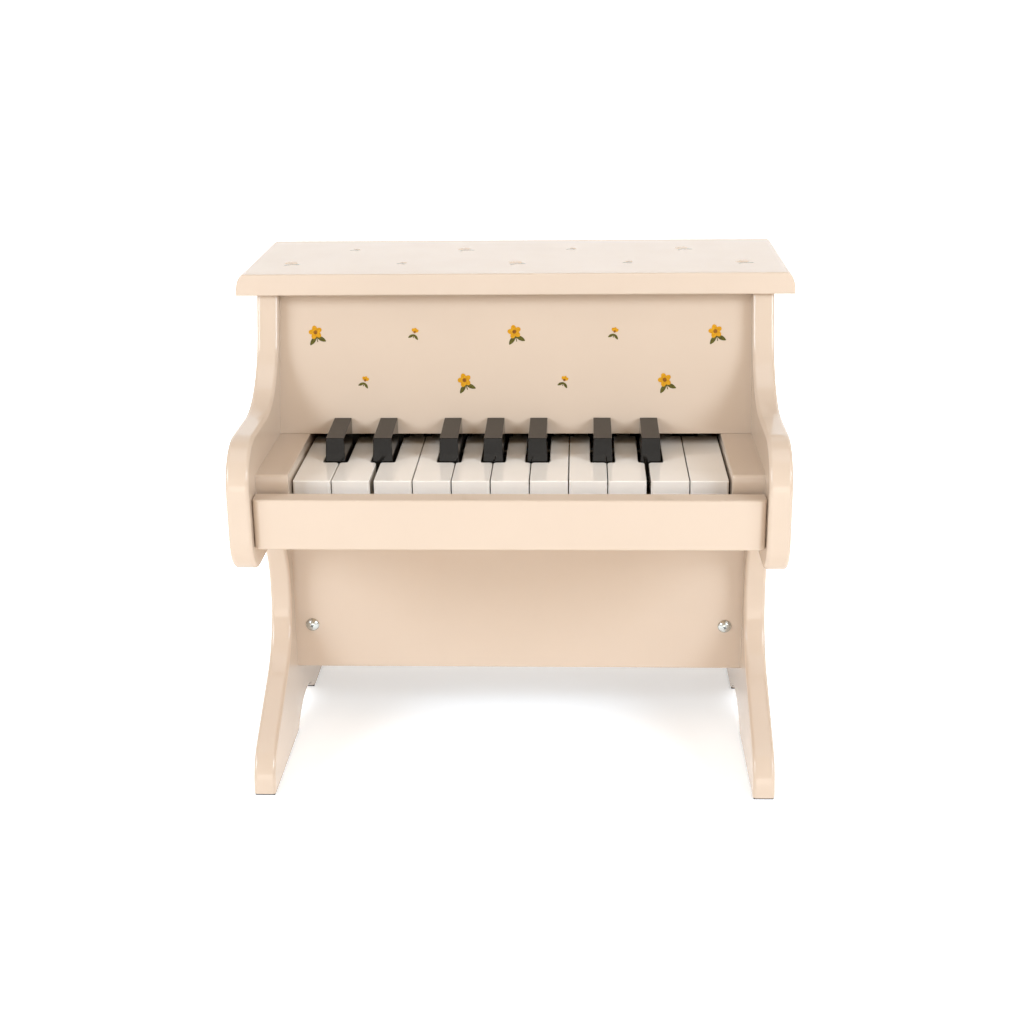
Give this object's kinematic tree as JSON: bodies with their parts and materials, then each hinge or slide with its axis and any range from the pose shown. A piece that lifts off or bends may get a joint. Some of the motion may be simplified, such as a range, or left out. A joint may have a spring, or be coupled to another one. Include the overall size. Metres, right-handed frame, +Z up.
{
  "type": "toy piano",
  "caption": "Small wooden upright toy piano with cream lacquered case, playable black and white keys, and hammers inside that strike flat metal tone bars.",
  "frame": {"origin": "on the floor, under the middle of the overall box", "axes": "+X along the keyboard towards the high notes, +Y towards the back, +Z up"},
  "size_m": [0.31, 0.2182, 0.2747],
  "materials": {
    "cream_lacquer": "glossy cream lacquer on board",
    "bare_wood": "plain sanded wood",
    "zinc": "zinc plated",
    "steel": "plain steel",
    "dark_felt": "dark felt",
    "grey_felt": "grey felt",
    "white_plastic": "glossy white",
    "black_plastic": "glossy black",
    "hammer_plastic": "moulded natural plastic"
  },
  "bodies": {
    "case": {"left_side_board": "cream_lacquer", "right_side_board": "cream_lacquer", "lid": "cream_lacquer", "upper_panel": "cream_lacquer", "lower_panel": "cream_lacquer", "back_panel": "cream_lacquer", "front_rail": "cream_lacquer", "left_key_block": "cream_lacquer", "right_key_block": "cream_lacquer", "keybed": "bare_wood", "corner_cleats": "bare_wood", "case_dowels": "bare_wood", "panel_screws": "zinc", "foot_pads": "dark_felt", "balance_rail": "bare_wood", "key_rod": "steel", "key_felts": "grey_felt", "hammer_rail": "bare_wood", "hammer_rod": "steel", "front_tone_rail": "bare_wood", "rear_tone_rail": "bare_wood", "tone_felts": "grey_felt", "tone_bars": "steel", "tone_pins": "steel"},
    "white_key_01_lever": {"white_key_01": "white_plastic"},
    "hammer_01_swing": {"hammer_01": "hammer_plastic"},
    "black_key_01_lever": {"black_key_01": "black_plastic"},
    "hammer_02_swing": {"hammer_02": "hammer_plastic"},
    "white_key_02_lever": {"white_key_02": "white_plastic"},
    "hammer_03_swing": {"hammer_03": "hammer_plastic"},
    "black_key_02_lever": {"black_key_02": "black_plastic"},
    "hammer_04_swing": {"hammer_04": "hammer_plastic"},
    "white_key_03_lever": {"white_key_03": "white_plastic"},
    "hammer_05_swing": {"hammer_05": "hammer_plastic"},
    "white_key_04_lever": {"white_key_04": "white_plastic"},
    "hammer_06_swing": {"hammer_06": "hammer_plastic"},
    "black_key_03_lever": {"black_key_03": "black_plastic"},
    "hammer_07_swing": {"hammer_07": "hammer_plastic"},
    "white_key_05_lever": {"white_key_05": "white_plastic"},
    "hammer_08_swing": {"hammer_08": "hammer_plastic"},
    "black_key_04_lever": {"black_key_04": "black_plastic"},
    "hammer_09_swing": {"hammer_09": "hammer_plastic"},
    "white_key_06_lever": {"white_key_06": "white_plastic"},
    "hammer_10_swing": {"hammer_10": "hammer_plastic"},
    "black_key_05_lever": {"black_key_05": "black_plastic"},
    "hammer_11_swing": {"hammer_11": "hammer_plastic"},
    "white_key_07_lever": {"white_key_07": "white_plastic"},
    "hammer_12_swing": {"hammer_12": "hammer_plastic"},
    "white_key_08_lever": {"white_key_08": "white_plastic"},
    "hammer_13_swing": {"hammer_13": "hammer_plastic"},
    "black_key_06_lever": {"black_key_06": "black_plastic"},
    "hammer_14_swing": {"hammer_14": "hammer_plastic"},
    "white_key_09_lever": {"white_key_09": "white_plastic"},
    "hammer_15_swing": {"hammer_15": "hammer_plastic"},
    "black_key_07_lever": {"black_key_07": "black_plastic"},
    "hammer_16_swing": {"hammer_16": "hammer_plastic"},
    "white_key_10_lever": {"white_key_10": "white_plastic"},
    "hammer_17_swing": {"hammer_17": "hammer_plastic"},
    "white_key_11_lever": {"white_key_11": "white_plastic"},
    "hammer_18_swing": {"hammer_18": "hammer_plastic"}
  },
  "joints": [
    {"name": "white_key_01_press", "type": "hinge", "parent": "case", "child": "white_key_01_lever", "pos_m": [-0.10867, 0.001, 0.17195], "axis": [1, 0, 0], "range_deg": [0, 3], "stiffness_Nm_per_rad": 0.06, "springref_deg": -11.46},
    {"name": "black_key_01_press", "type": "hinge", "parent": "case", "child": "black_key_01_lever", "pos_m": [-0.09636, 0.001, 0.17195], "axis": [1, 0, 0], "range_deg": [0, 3], "stiffness_Nm_per_rad": 0.06, "springref_deg": -11.46},
    {"name": "white_key_02_press", "type": "hinge", "parent": "case", "child": "white_key_02_lever", "pos_m": [-0.0834, 0.001, 0.17195], "axis": [1, 0, 0], "range_deg": [0, 3], "stiffness_Nm_per_rad": 0.06, "springref_deg": -11.46},
    {"name": "black_key_02_press", "type": "hinge", "parent": "case", "child": "black_key_02_lever", "pos_m": [-0.07045, 0.001, 0.17195], "axis": [1, 0, 0], "range_deg": [0, 3], "stiffness_Nm_per_rad": 0.06, "springref_deg": -11.46},
    {"name": "white_key_03_press", "type": "hinge", "parent": "case", "child": "white_key_03_lever", "pos_m": [-0.05882, 0.001, 0.17195], "axis": [1, 0, 0], "range_deg": [0, 3], "stiffness_Nm_per_rad": 0.06, "springref_deg": -11.46},
    {"name": "white_key_04_press", "type": "hinge", "parent": "case", "child": "white_key_04_lever", "pos_m": [-0.0459, 0.001, 0.17195], "axis": [1, 0, 0], "range_deg": [0, 3], "stiffness_Nm_per_rad": 0.06, "springref_deg": -11.46},
    {"name": "black_key_03_press", "type": "hinge", "parent": "case", "child": "black_key_03_lever", "pos_m": [-0.03427, 0.001, 0.17195], "axis": [1, 0, 0], "range_deg": [0, 3], "stiffness_Nm_per_rad": 0.06, "springref_deg": -11.46},
    {"name": "white_key_05_press", "type": "hinge", "parent": "case", "child": "white_key_05_lever", "pos_m": [-0.02227, 0.001, 0.17195], "axis": [1, 0, 0], "range_deg": [0, 3], "stiffness_Nm_per_rad": 0.06, "springref_deg": -11.46},
    {"name": "black_key_04_press", "type": "hinge", "parent": "case", "child": "black_key_04_lever", "pos_m": [-0.01026, 0.001, 0.17195], "axis": [1, 0, 0], "range_deg": [0, 3], "stiffness_Nm_per_rad": 0.06, "springref_deg": -11.46},
    {"name": "white_key_06_press", "type": "hinge", "parent": "case", "child": "white_key_06_lever", "pos_m": [0.00174, 0.001, 0.17195], "axis": [1, 0, 0], "range_deg": [0, 3], "stiffness_Nm_per_rad": 0.06, "springref_deg": -11.46},
    {"name": "black_key_05_press", "type": "hinge", "parent": "case", "child": "black_key_05_lever", "pos_m": [0.01375, 0.001, 0.17195], "axis": [1, 0, 0], "range_deg": [0, 3], "stiffness_Nm_per_rad": 0.06, "springref_deg": -11.46},
    {"name": "white_key_07_press", "type": "hinge", "parent": "case", "child": "white_key_07_lever", "pos_m": [0.02538, 0.001, 0.17195], "axis": [1, 0, 0], "range_deg": [0, 3], "stiffness_Nm_per_rad": 0.06, "springref_deg": -11.46},
    {"name": "white_key_08_press", "type": "hinge", "parent": "case", "child": "white_key_08_lever", "pos_m": [0.03742, 0.001, 0.17195], "axis": [1, 0, 0], "range_deg": [0, 3], "stiffness_Nm_per_rad": 0.06, "springref_deg": -11.46},
    {"name": "black_key_06_press", "type": "hinge", "parent": "case", "child": "black_key_06_lever", "pos_m": [0.04905, 0.001, 0.17195], "axis": [1, 0, 0], "range_deg": [0, 3], "stiffness_Nm_per_rad": 0.06, "springref_deg": -11.46},
    {"name": "white_key_09_press", "type": "hinge", "parent": "case", "child": "white_key_09_lever", "pos_m": [0.06201, 0.001, 0.17195], "axis": [1, 0, 0], "range_deg": [0, 3], "stiffness_Nm_per_rad": 0.06, "springref_deg": -11.46},
    {"name": "black_key_07_press", "type": "hinge", "parent": "case", "child": "black_key_07_lever", "pos_m": [0.07496, 0.001, 0.17195], "axis": [1, 0, 0], "range_deg": [0, 3], "stiffness_Nm_per_rad": 0.06, "springref_deg": -11.46},
    {"name": "white_key_10_press", "type": "hinge", "parent": "case", "child": "white_key_10_lever", "pos_m": [0.08659, 0.001, 0.17195], "axis": [1, 0, 0], "range_deg": [0, 3], "stiffness_Nm_per_rad": 0.06, "springref_deg": -11.46},
    {"name": "white_key_11_press", "type": "hinge", "parent": "case", "child": "white_key_11_lever", "pos_m": [0.10936, 0.001, 0.17195], "axis": [1, 0, 0], "range_deg": [0, 3], "stiffness_Nm_per_rad": 0.06, "springref_deg": -11.46},
    {"name": "hammer_01_strike", "type": "hinge", "parent": "case", "child": "hammer_01_swing", "pos_m": [-0.10867, 0.0857, 0.18095], "axis": [1, 0, 0], "range_deg": [-22.5, 0]},
    {"name": "hammer_02_strike", "type": "hinge", "parent": "case", "child": "hammer_02_swing", "pos_m": [-0.09636, 0.0857, 0.18095], "axis": [1, 0, 0], "range_deg": [-22.5, 0]},
    {"name": "hammer_03_strike", "type": "hinge", "parent": "case", "child": "hammer_03_swing", "pos_m": [-0.0834, 0.0857, 0.18095], "axis": [1, 0, 0], "range_deg": [-22.5, 0]},
    {"name": "hammer_04_strike", "type": "hinge", "parent": "case", "child": "hammer_04_swing", "pos_m": [-0.07045, 0.0857, 0.18095], "axis": [1, 0, 0], "range_deg": [-22.5, 0]},
    {"name": "hammer_05_strike", "type": "hinge", "parent": "case", "child": "hammer_05_swing", "pos_m": [-0.05882, 0.0857, 0.18095], "axis": [1, 0, 0], "range_deg": [-22.5, 0]},
    {"name": "hammer_06_strike", "type": "hinge", "parent": "case", "child": "hammer_06_swing", "pos_m": [-0.0459, 0.0857, 0.18095], "axis": [1, 0, 0], "range_deg": [-22.5, 0]},
    {"name": "hammer_07_strike", "type": "hinge", "parent": "case", "child": "hammer_07_swing", "pos_m": [-0.03427, 0.0857, 0.18095], "axis": [1, 0, 0], "range_deg": [-22.5, 0]},
    {"name": "hammer_08_strike", "type": "hinge", "parent": "case", "child": "hammer_08_swing", "pos_m": [-0.02227, 0.0857, 0.18095], "axis": [1, 0, 0], "range_deg": [-22.5, 0]},
    {"name": "hammer_09_strike", "type": "hinge", "parent": "case", "child": "hammer_09_swing", "pos_m": [-0.01026, 0.0857, 0.18095], "axis": [1, 0, 0], "range_deg": [-22.5, 0]},
    {"name": "hammer_10_strike", "type": "hinge", "parent": "case", "child": "hammer_10_swing", "pos_m": [0.00174, 0.0857, 0.18095], "axis": [1, 0, 0], "range_deg": [-22.5, 0]},
    {"name": "hammer_11_strike", "type": "hinge", "parent": "case", "child": "hammer_11_swing", "pos_m": [0.01375, 0.0857, 0.18095], "axis": [1, 0, 0], "range_deg": [-22.5, 0]},
    {"name": "hammer_12_strike", "type": "hinge", "parent": "case", "child": "hammer_12_swing", "pos_m": [0.02538, 0.0857, 0.18095], "axis": [1, 0, 0], "range_deg": [-22.5, 0]},
    {"name": "hammer_13_strike", "type": "hinge", "parent": "case", "child": "hammer_13_swing", "pos_m": [0.03742, 0.0857, 0.18095], "axis": [1, 0, 0], "range_deg": [-22.5, 0]},
    {"name": "hammer_14_strike", "type": "hinge", "parent": "case", "child": "hammer_14_swing", "pos_m": [0.04905, 0.0857, 0.18095], "axis": [1, 0, 0], "range_deg": [-22.5, 0]},
    {"name": "hammer_15_strike", "type": "hinge", "parent": "case", "child": "hammer_15_swing", "pos_m": [0.06201, 0.0857, 0.18095], "axis": [1, 0, 0], "range_deg": [-22.5, 0]},
    {"name": "hammer_16_strike", "type": "hinge", "parent": "case", "child": "hammer_16_swing", "pos_m": [0.07496, 0.0857, 0.18095], "axis": [1, 0, 0], "range_deg": [-22.5, 0]},
    {"name": "hammer_17_strike", "type": "hinge", "parent": "case", "child": "hammer_17_swing", "pos_m": [0.08659, 0.0857, 0.18095], "axis": [1, 0, 0], "range_deg": [-22.5, 0]},
    {"name": "hammer_18_strike", "type": "hinge", "parent": "case", "child": "hammer_18_swing", "pos_m": [0.10936, 0.0857, 0.18095], "axis": [1, 0, 0], "range_deg": [-22.5, 0]}
  ],
  "couplings": [
    {"joint": "hammer_01_strike", "follows": "white_key_01_press", "ratio": -7.5},
    {"joint": "hammer_02_strike", "follows": "black_key_01_press", "ratio": -7.5},
    {"joint": "hammer_03_strike", "follows": "white_key_02_press", "ratio": -7.5},
    {"joint": "hammer_04_strike", "follows": "black_key_02_press", "ratio": -7.5},
    {"joint": "hammer_05_strike", "follows": "white_key_03_press", "ratio": -7.5},
    {"joint": "hammer_06_strike", "follows": "white_key_04_press", "ratio": -7.5},
    {"joint": "hammer_07_strike", "follows": "black_key_03_press", "ratio": -7.5},
    {"joint": "hammer_08_strike", "follows": "white_key_05_press", "ratio": -7.5},
    {"joint": "hammer_09_strike", "follows": "black_key_04_press", "ratio": -7.5},
    {"joint": "hammer_10_strike", "follows": "white_key_06_press", "ratio": -7.5},
    {"joint": "hammer_11_strike", "follows": "black_key_05_press", "ratio": -7.5},
    {"joint": "hammer_12_strike", "follows": "white_key_07_press", "ratio": -7.5},
    {"joint": "hammer_13_strike", "follows": "white_key_08_press", "ratio": -7.5},
    {"joint": "hammer_14_strike", "follows": "black_key_06_press", "ratio": -7.5},
    {"joint": "hammer_15_strike", "follows": "white_key_09_press", "ratio": -7.5},
    {"joint": "hammer_16_strike", "follows": "black_key_07_press", "ratio": -7.5},
    {"joint": "hammer_17_strike", "follows": "white_key_10_press", "ratio": -7.5},
    {"joint": "hammer_18_strike", "follows": "white_key_11_press", "ratio": -7.5}
  ]
}
